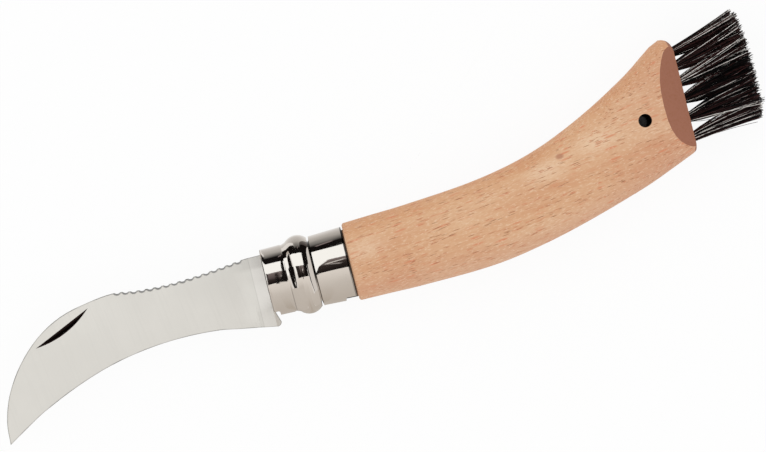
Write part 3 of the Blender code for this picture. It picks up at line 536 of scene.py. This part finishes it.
# Brush: every tuft becomes a bundle of single bristles
brushLook = {
    "bristles": 170,                         # in a tuft
    "radius": 0.000088,                      # metres, at the root
    "tipShare": 0.80,                        # tip radius over root radius
    "taperPower": 1.5,                       # above 1, a bristle thins mostly towards its tip
    "paleRadius": 1.12,                      # pale bristles are the thick ones
    "clumps": 7,                             # round a tuft, in two rings
    "innerRing": 0.6,                        # of the hole's radius
    "clumpStray": 0.00080,
    "clumpShortest": 0.915,
    "sides": 3,
    "steps": 7,
    "plug": 0.0016,                          # metres, the part of a CAD tuft that is its plug
    "holeRadius": 0.0013,
    "filled": 0.96,                          # of the hole's radius
    "turnShake": 0.2,
    "depth": 0.0045,                         # how far a bristle goes into its hole
    "length": 0.0200,
    "lean": 12.3,                            # degrees, up from the collar's axis
    "fanAlong": 0.128,                       # the whole brush's spread, as a share of the rows' height
    "fanAcross": 0.30,
    "fanDown": (0.45, 2.4, 2.4, 2.4, 2.4, 2.3),       # each row's own spread, from the lowest row
    "fanUp": (2.3, 2.4, 2.4, 2.4, 2.0, 0.58),
    "fanShake": 0.22,
    "shakenFrom": 2.0,                       # a spread above this is shaken
    "opening": 0.82,                         # below 1, a tuft opens fastest beside its hole
    "tuftFanAcross": 0.75,
    "crownUp": 0.07,                         # how much shorter the highest row is
    "crownDown": 0.0,
    "outerStray": 0.35,                      # the outer rows hold together on the outside
    "spreadPower": 1.25,
    "stray": 0.00044,
    "shortest": 0.935,
    "longest": 1.022,
    "loner": 24,                             # one in so many bristles of the lowest row hangs free
    "lonerDrop": (0.0008, 0.0020),
    "rowTones": (0.75, 1.0, 1.0, 0.95, 0.85, 0.70),   # below 1, a row has more brown and pale bristles
    "seed": 11,
}
bristleLook = {
    "black": (0.0018, 0.0014, 0.0014),
    "brown": (0.075, 0.026, 0.024),
    # The pale bristles are partly pale hairs and partly painted highlights.
    "pale": (0.92, 0.88, 0.83),
    "blackShare": 0.55,                      # of the bristles, and the next go over to brown
    "paleShare": 0.074,                      # of them, the last
    "paleStep": 0.01,                        # between the brown ones and the pale
    "fleckSize": (0.003, 0.0004, 0.0004),    # metres, of the dark places along a pale bristle, which break its painted highlight
    "flecks": (0.50, 0.66, 0.0, 0.85),
    "scale": 0.00012,
    "scaleDepth": 0.000004,
    "gloss": 0.07,
    "roughness": (0.3, 0.7, 0.34, 0.54),
}


def bristleHair(look):
    material, tree, shader = newMaterial("boarBristle")
    tone = addNode(tree, "ShaderNodeAttribute", attribute_name="bristleTone").outputs["Fac"]
    paleFrom = 1 - look["paleShare"]
    stops = (
        (0.0, look["black"]),
        (look["blackShare"], look["black"]),
        (paleFrom - look["paleStep"], look["brown"]),
        (paleFrom, look["pale"]),
    )
    flecks = noisePattern(tree, stretched(tree, look["fleckSize"]), detail=2.0)
    colour = laidOver(tree, ramp(tree, tone, stops), look["black"], flecks, look["flecks"])
    rough = between(tree, flecks, *look["roughness"])
    setInputs(tree, shader, {"Base Color": colour, "Roughness": rough, "Specular IOR Level": look["gloss"]})
    scales = noisePattern(tree, stretched(tree, (look["scale"],) * 3), detail=1.0)
    bumped(tree, shader, (scales, look["scaleDepth"]))
    return material


def holeMiddle(look, name):
    # The lowest part of the CAD tuft is its plug: its middle and the lean give the hole's mouth.
    points = [v.co for v in nodes[name].data.vertices]
    lowest = min(p.x for p in points)
    plug = [p for p in points if p.x < lowest + look["plug"]]
    low = Vector([min(p[i] for p in plug) for i in range(3)])
    high = Vector([max(p[i] for p in plug) for i in range(3)])
    middle = (low + high) / 2
    out = endFace - middle.x
    return Vector((endFace, middle.y + out * math.tan(math.radians(look["lean"])), middle.z))


def bristlePath(look, mouth, own, row, clump, brushMiddle, halfHeight, draw):
    lean = math.tan(math.radians(look["lean"]))
    topRow = len(look["fanUp"]) - 1
    fromMiddle = (mouth.y - brushMiddle) / halfHeight
    crown = look["crownUp"] if fromMiddle > 0 else look["crownDown"]
    length = look["length"] * (1 - crown * fromMiddle ** 2)
    spread = length / look["length"]
    share = clump["share"] * draw.triangular(look["shortest"], look["longest"], 1.0)
    fan = look["fanUp" if own.y > 0 else "fanDown"][row]
    if fan > look["shakenFrom"]:
        fan *= 1 + draw.gauss(0, look["fanShake"])
    toY = (mouth.y - brushMiddle) * look["fanAlong"] * spread
    toZ = ((mouth.z - pivot.z) * look["fanAcross"] + own.z * look["tuftFanAcross"]) * spread
    strayY = clump["y"] + draw.gauss(0, look["stray"])
    strayZ = clump["z"] + draw.gauss(0, look["stray"])
    start = mouth + own - Vector((look["depth"], look["depth"] * lean, 0))
    if (row == topRow and strayY > 0) or (row == 0 and strayY < 0):
        strayY *= look["outerStray"]
    if row == 0 and draw.random() < 1 / look["loner"]:
        strayY -= draw.uniform(*look["lonerDrop"])
    path = [start, mouth + own]
    for step in range(1, look["steps"] + 1):
        t = step / look["steps"] * share
        bend = t ** look["spreadPower"]
        ownY = own.y * fan * spread * t ** look["opening"]
        x = length * t
        y = x * lean + toY * bend + ownY + strayY * t * t
        z = toZ * bend + strayZ * t * t
        path.append(mouth + own + Vector((x, y, z)))
    return path


def makeClumps(look, draw):
    # Bristles stick together in small clumps, which part towards the tips.
    return [
        {
            "share": draw.uniform(look["clumpShortest"], 1.0),
            "y": draw.gauss(0, look["clumpStray"]),
            "z": draw.gauss(0, look["clumpStray"]),
        }
        for _ in range(look["clumps"] * 2)
    ]


def tube(points, faces, tones, path, look, tone, turn):
    sides = look["sides"]
    first = len(points)
    last = len(path) - 1
    thick = look["radius"] * (look["paleRadius"] if tone > 1 - bristleLook["paleShare"] else 1)
    for k, point in enumerate(path):
        ahead = path[min(k + 1, last)] - path[max(k - 1, 0)]
        frameTurn = ahead.to_track_quat("X", "Z")
        radius = thick * (1 + (look["tipShare"] - 1) * (k / last) ** look["taperPower"])
        for side in range(sides):
            angle = turn + 2 * math.pi * side / sides
            rim = Vector((0, radius * math.cos(angle), radius * math.sin(angle)))
            points.append(point + frameTurn @ rim)
            tones.append(tone)
    for k in range(last):
        low, high = first + k * sides, first + (k + 1) * sides
        for side in range(sides):
            after = (side + 1) % sides
            faces.append((low + side, low + after, high + after, high + side))
    faces.append(tuple(first + side for side in reversed(range(sides))))
    faces.append(tuple(first + last * sides + side for side in range(sides)))


def makeBrush(look):
    hair = bristleHair(bristleLook)
    draw = random.Random(look["seed"])
    mouths = {name: holeMiddle(look, name) for name in tuftNodes}
    heights = sorted({round(m.y, 4) for m in mouths.values()})       # of the rows, to 0.1 mm
    brushMiddle = (heights[0] + heights[-1]) / 2
    halfHeight = (heights[-1] - heights[0]) / 2
    for name in tuftNodes:
        mouth = mouths[name]
        row = min(range(len(heights)), key=lambda k: abs(heights[k] - mouth.y))
        clumps = makeClumps(look, draw)
        points, faces, tones = [], [], []
        for k in range(look["bristles"]):
            # An even sunflower filling of the hole, a little shaken.
            reach = look["holeRadius"] * math.sqrt((k + 0.5) / look["bristles"]) * look["filled"]
            angle = k * math.pi * (3 - math.sqrt(5)) + draw.uniform(-look["turnShake"], look["turnShake"])
            own = Vector((0, reach * math.cos(angle), reach * math.sin(angle)))
            sector = int(angle / (2 * math.pi) * look["clumps"]) % look["clumps"]
            clump = clumps[sector * 2 + (reach > look["holeRadius"] * look["innerRing"])]
            path = bristlePath(look, mouth, own, row, clump, brushMiddle, halfHeight, draw)
            tone = 1 - (1 - draw.random()) * look["rowTones"][row]
            tube(points, faces, tones, path, look, tone, draw.uniform(0, math.pi))
        mesh = bpy.data.meshes.new("bundle" + name[-2:])
        mesh.from_pydata(points, [], faces)
        attribute = mesh.attributes.new("bristleTone", "FLOAT", "POINT")
        attribute.data.foreach_set("value", tones)
        mesh.shade_smooth()
        mesh.materials.append(hair)
        bundle = bpy.data.objects.new("bristle_bundle_" + name[-2:], mesh)
        scene.collection.objects.link(bundle)
        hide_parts(name)
        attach(bundle, "handle")
    print("brush made,", len(tuftNodes) * look["bristles"], "bristles")


makeBrush(brushLook)


# Wire anchors in the bottom of the holes
wireLook = {
    "colour": (0.50, 0.49, 0.46),
    "dull": 0.8,                             # how much of the colour is left in a drawing line
    "roughness": 0.38,
    "drawnLine": 0.00004,                    # metres, the width of a drawing line
    "drawnLength": 0.002,
    "drawnDepth": 0.000001,
}


def drawnWire(look):
    material, tree, shader = newMaterial("drawnWire")
    lineSize = (look["drawnLine"], look["drawnLine"], look["drawnLength"])
    lines = noisePattern(tree, stretched(tree, lineSize), detail=2.0)
    colour = mixColours(tree, lines, look["colour"], dimmed(look["colour"], look["dull"]))
    setInputs(tree, shader, {"Base Color": colour, "Metallic": 1.0, "Roughness": look["roughness"]})
    bumped(tree, shader, (lines, look["drawnDepth"]))
    return material


def dressAnchors():
    wire = drawnWire(wireLook)
    for name in anchorNodes:
        dress(nodes[name], wire)
    print("anchors dressed")


dressAnchors()


# Camera, straight above the knife as it lies on its side
cameraPlace = {
    "roll": 13.9,                            # degrees, the collar's axis against the picture's long side
    "lens": 200.0,
    "width": 0.2020,                         # metres seen across, at the collar's middle height
    "aimRight": 0.03048,                     # metres from the ring's front to the picture's middle
    "aimUp": 0.01514,
    "clip": (0.01, 20),                      # metres, the nearest and the farthest that it sees
}


def makeCamera(place):
    data = bpy.data.cameras.new("studioCamera")
    data.lens = place["lens"]
    camera = bpy.data.objects.new("studioCamera", data)
    scene.collection.objects.link(camera)
    roll = math.radians(place["roll"])
    right = Vector((math.cos(roll), -math.sin(roll), 0))
    up = Vector((math.sin(roll), math.cos(roll), 0))
    distance = place["width"] * data.lens / data.sensor_width
    aim = axisStart + right * place["aimRight"] + up * place["aimUp"]
    camera.location = aim + Vector((0, 0, distance))
    camera.rotation_euler = (0, 0, -roll)
    data.clip_start, data.clip_end = place["clip"]
    scene.camera = camera
    print("camera", round(distance, 3), "m above the knife")


makeCamera(cameraPlace)


# Floor, light and the cards that the polished steel mirrors
studio = {
    "floorSize": 6.0,                        # metres
    "floorColour": (0.93, 0.93, 0.93),
    "floorRoughness": 0.9,
    "floorLift": 0.92,                       # how much of the floor's white doesn't depend on the light
    "contact": 0.003,                        # metres, how near a thing has to be for painted contact shade to darken that share
    "contactPower": 5.0,                     # above 1, it darkens that share more
    "skyForLight": 0.96,                     # the sky's strength for dull surfaces, and 1 where it is seen
    "keyGlow": 0.373,                        # how bright the softbox looks in a mirror
    "keyColour": (0.85, 1.0, 1.07),          # of the light that steel mirrors
    "keyForDull": 0.15,                      # and how bright it is for what doesn't mirror it
    "keySize": (1.00, 1.60),                 # metres, round the collar's axis and along it
    "keyDistance": 0.62,
    "keyFromZenith": 51.0,                   # degrees towards the toothed back
}


def seenRays(tree):
    # 1 for what the camera sees straight, in steel or through glass, and 0 for light that reaches a dull
    # surface.
    rays = addNode(tree, "ShaderNodeLightPath").outputs
    seen = sums(tree, "MAXIMUM", rays["Is Camera Ray"], rays["Is Glossy Ray"])
    return sums(tree, "MAXIMUM", seen, rays["Is Transmission Ray"])


def makeFloor(look):
    bpy.ops.mesh.primitive_plane_add(size=look["floorSize"], location=(0, 0, 0))
    floor = bpy.context.object
    floor.name = "studioFloor"
    material, tree, shader = newMaterial("paleFloor")
    setInputs(tree, shader, {"Base Color": look["floorColour"], "Roughness": look["floorRoughness"]})
    setInputs(tree, shader, {"Specular IOR Level": 0.0})
    # Painted contact shade: the lift darkens near things, under the knife and in its cord hole.
    near = addNode(tree, "ShaderNodeAmbientOcclusion", {"Distance": look["contact"]}, samples=8)
    strength = sums(tree, "POWER", near.outputs["AO"], look["contactPower"])
    lift = addNode(tree, "ShaderNodeEmission", {"Color": (1, 1, 1), "Strength": strength})
    share = sums(tree, "MULTIPLY", seenRays(tree), look["floorLift"])
    mixShaders(tree, share, shader.outputs["BSDF"], lift.outputs["Emission"])
    floor.data.materials.append(material)


def makeWorld(look):
    world = bpy.data.worlds.new("studioWorld")
    scene.world = world
    world.use_nodes = True
    tree = world.node_tree
    dimmer = look["skyForLight"]
    strength = sums(tree, "MULTIPLY_ADD", seenRays(tree), 1.0 - dimmer, dimmer)
    setInputs(tree, tree.nodes["Background"], {"Color": (1, 1, 1), "Strength": strength})


def makeKey(look, name, glow, forSteel):
    # Two softboxes in one place: steel mirrors the first, and the second lights what is dull.
    lamp = bpy.data.lights.new(name, "AREA")
    lamp.shape = "RECTANGLE"
    lamp.size, lamp.size_y = look["keySize"]
    lamp.energy = glow * math.pi * lamp.size * lamp.size_y          # the power that gives this glow
    softbox = bpy.data.objects.new(name, lamp)
    if forSteel:
        lamp.color = look["keyColour"]
    softbox.visible_glossy = forSteel
    softbox.visible_diffuse = not forSteel
    angle = math.radians(look["keyFromZenith"])
    away = Vector((0, math.sin(angle), math.cos(angle)))
    softbox.location = collarMiddle + away * look["keyDistance"]
    softbox.rotation_euler = away.to_track_quat("Z", "X").to_euler()
    scene.collection.objects.link(softbox)


# A can of cards stands close round the collar, and only mirrored rays inside it meet them. Angles are
# degrees round the collar's axis, from the zenith towards the toothed back. The softbox shines in through
# the open window.
can = {
    "radius": 0.050,                         # metres
    "start": -0.00015,                       # along the axis, from the ring's front
    "end": 0.0236,
    "overFloor": 0.0001,
    "steps": 16,
}
cardGlows = {
    "black": (0.008, 0.006, 0.006),
    "soot": (0.085, 0.072, 0.070),
    "umber": (0.042, 0.032, 0.030),
    "brown": (0.28, 0.235, 0.235),
    "bright": (0.98, 0.96, 0.93),
    "pale": (0.75, 0.72, 0.685),
    "dusk": (0.62, 0.58, 0.535),
    "shade": (0.54, 0.49, 0.43),
    "grey": (0.50, 0.49, 0.48),
    "mist": (0.57, 0.56, 0.545),
    "lightGrey": (0.86, 0.85, 0.84),
    "window": (1.31, 1.37, 1.40),            # as the softbox looks in a mirror
}
wallCards = {
    "zenithCard": {"round": (-6, 24), "glow": ("black", "umber", "brown")},
    "zenithBead": {"round": (-9, 21), "glow": ("black", "black", "umber"), "along": (0.0066, 0.0098),
                   "inside": 0.0003},
    "zenithStreak": {"round": (11, 14.5), "roundFar": (14, 17), "glow": ("bright", "grey"),
                     "along": (0.0118, 0.0172), "inside": 0.0004},
    "zenithStreakLow": {"round": (11, 13), "roundFar": (4, 7), "glow": ("grey", "brown"),
                        "along": (0.0118, 0.0160), "inside": 0.0004},
    "horizonCard": {"round": (60, 80), "glow": ("black", "black")},
    "horizonStreak": {"round": (76, 80), "roundFar": (80, 86), "glow": ("brown", "brown"),
                      "along": (0.0115, 0.0160), "inside": 0.0004},
    "backCard": {"round": (80, 105), "glow": ("black", "mist")},
    "underCard": {"round": (105, 126), "glow": ("mist", "lightGrey")},
    "floorCard": {"round": (126, 180), "glow": ("lightGrey", "lightGrey")},
    "brightCard": {"round": (-6, -48), "glow": ("bright", "pale")},
    "duskCard": {"round": (-48, -124), "glow": ("pale", "dusk")},
    "duskBead": {"round": (-48, -124), "glow": ("pale", "shade"), "along": (0.0072, 0.0124),
                 "inside": 0.0003},
    "edgeCard": {"round": (-124, -180), "glow": ("dusk", "soot", "soot", "grey")},
}
frontCards = {
    "innerRim": {"round": (-30, 68), "reach": (0.0, 0.0118), "glow": ("lightGrey", "lightGrey")},
    "innerRimTop": {"round": (68, 110), "reach": (0.0, 0.0148), "glow": ("dusk", "grey")},
    "darkRim": {"round": (24, 68), "reach": (0.0118, 0.0140), "glow": ("black", "black")},
    "darkRimLow": {"round": (24, -30), "reach": (0.0118, 0.0156), "reachFar": (0.0128, 0.0134),
                   "glow": ("black", "black")},
    "zenithRim": {"round": (-6, 24), "reach": (0.0210, 0.050), "glow": ("black", "umber")},
    "horizonRim": {"round": (60, 92), "reach": (0.0148, 0.050), "glow": ("black", "black")},
    "backRim": {"round": (92, 180), "reach": (0.0148, 0.050), "glow": ("soot", "lightGrey")},
    "backRimLow": {"round": (110, 180), "reach": (0.0, 0.0148), "glow": ("grey", "lightGrey")},
    "paleRim": {"round": (-30, -180), "reach": (0.0, 0.050), "glow": ("pale", "dusk")},
    "paleRimTop": {"round": (-6, -30), "reach": (0.0156, 0.050), "glow": ("bright", "pale")},
}
rearCards = {
    "innerRim": {"round": (24, 92), "reach": (0.0, 0.0166), "glow": ("lightGrey", "lightGrey")},
    "innerRimLow": {"round": (-60, 24), "reach": (0.0, 0.0190), "glow": ("lightGrey", "lightGrey")},
    "darkRim": {"round": (24, 92), "reach": (0.0166, 0.0215), "glow": ("black", "black")},
    "darkRimLow": {"round": (24, -60), "reach": (0.0190, 0.0235), "reachFar": (0.0190, 0.0195),
                   "glow": ("black", "black")},
    "darkEnd": {"round": (24, 60), "reach": (0.0215, 0.040), "glow": ("black", "black")},
    "darkEndTop": {"round": (60, 92), "reach": (0.0215, 0.050), "glow": ("black", "black")},
    "darkEndLow": {"round": (-6, 24), "reach": (0.0235, 0.050), "glow": ("black", "black")},
    "backRim": {"round": (92, 180), "reach": (0.0, 0.050), "glow": ("soot", "lightGrey")},
    "paleRim": {"round": (-60, -180), "reach": (0.0, 0.050), "glow": ("pale", "dusk")},
    "paleRimTop": {"round": (-6, -60), "reach": (0.0235, 0.050), "glow": ("bright", "pale")},
}


# Cards that stand across the axis inside the can. Only rays that come from the side that a card faces,
# 1 for the rear and -1 for the front, meet it.
acrossCards = {
    "ringArch": {"at": 0.0066, "facing": -1, "round": (20, 60), "reach": (0.0118, 0.0168),
                 "glow": ("black", "black")},
    "ringArchLow": {"at": 0.0066, "facing": -1, "round": (-6, 20), "reach": (0.0118, 0.026),
                    "reachFar": (0.0118, 0.0168), "glow": ("black", "black")},
    "rearWedge": {"at": 0.0132, "facing": 1, "round": (26, 10), "reach": (0.0096, 0.050),
                  "reachFar": (0.0096, 0.022), "glow": ("window", "window")},
    "rearWedgeLow": {"at": 0.0132, "facing": 1, "round": (10, -3), "reach": (0.0096, 0.022),
                     "reachFar": (0.0096, 0.0098), "glow": ("window", "window")},
}


def cardPoint(along, turn, reach):
    # Below the axis a card reaches no lower than just above the floor.
    angle = math.radians(turn)
    if math.cos(angle) < 0:
        reach = min(reach, (axisStart.z - can["overFloor"]) / -math.cos(angle))
    return axisStart + Vector((along, reach * math.sin(angle), reach * math.cos(angle)))


def makeWallCard(name, look):
    starts = look.get("along", (can["start"], can["end"]))
    reach = can["radius"] - look.get("inside", 0.0)
    ends = (look["round"], look.get("roundFar", look["round"]))      # a card may widen along the axis
    rows = []
    for step in range(can["steps"] + 1):
        share = step / can["steps"]
        turns = [low + (high - low) * share for low, high in ends]
        rows.append([cardPoint(start, turn, reach) for start, turn in zip(starts, turns)])
    makeCard(name, look, rows)


def makeEndCard(name, look, along):
    low, high = look["round"]
    reaches = list(zip(look["reach"], look.get("reachFar", look["reach"])))     # or narrow on its way
    rows = []
    for step in range(can["steps"] + 1):
        share = step / can["steps"]
        turn = low + (high - low) * share
        rows.append([cardPoint(along, turn, near + (far - near) * share) for near, far in reaches])
    makeCard(name, look, rows)


def makeCard(name, look, rows):
    glow = [Vector(cardGlows[colour]) for colour in look["glow"]]
    points, faces, glows = [], [], []
    for i, row in enumerate(rows):
        points += row
        share = i / (len(rows) - 1) * (len(glow) - 1)
        first = min(int(share), len(glow) - 2)
        glows += [*glow[first].lerp(glow[first + 1], share - first), 1.0] * 2
    for i in range(len(rows) - 1):
        faces.append((2 * i, 2 * i + 1, 2 * i + 3, 2 * i + 2))
    mesh = bpy.data.meshes.new(name)
    mesh.from_pydata(points, [], faces)
    mesh.attributes.new("cardGlow", "FLOAT_COLOR", "POINT").data.foreach_set("color", glows)
    towards = collarMiddle - mesh.polygons[-1].center
    if "facing" in look:
        towards = Vector((look["facing"], 0, 0))
    if towards.dot(mesh.polygons[-1].normal) < 0:
        mesh.flip_normals()
    card = bpy.data.objects.new(name, mesh)
    scene.collection.objects.link(card)
    mesh.materials.append(cardPaper())
    for ray in ("camera", "diffuse", "shadow", "transmission", "volume_scatter"):
        setattr(card, "visible_" + ray, False)


def cardPaper():
    # The paper shines on the side that its card faces and is clear on the other. All cards share it.
    material = bpy.data.materials.get("cardPaper")
    if material:
        return material
    material, tree, shader = newMaterial("cardPaper")
    tree.nodes.remove(shader)
    colour = addNode(tree, "ShaderNodeAttribute", attribute_name="cardGlow").outputs["Color"]
    shining = addNode(tree, "ShaderNodeEmission", {"Color": colour})
    clear = addNode(tree, "ShaderNodeBsdfTransparent")
    back = addNode(tree, "ShaderNodeNewGeometry").outputs["Backfacing"]
    mixShaders(tree, back, shining.outputs["Emission"], clear.outputs["BSDF"])
    return material


makeFloor(studio)
makeWorld(studio)
makeKey(studio, "softboxMirrored", studio["keyGlow"], True)
makeKey(studio, "softboxSoft", studio["keyForDull"], False)
for cardName, cardLook in wallCards.items():
    makeWallCard(cardName, cardLook)
for cardName, cardLook in frontCards.items():
    makeEndCard(cardName + "Front", cardLook, can["start"])
for cardName, cardLook in rearCards.items():
    makeEndCard(cardName + "Rear", cardLook, can["end"])
for cardName, cardLook in acrossCards.items():
    makeEndCard(cardName, cardLook, cardLook["at"])
scene.view_settings.view_transform = "Standard"
print("studio made")
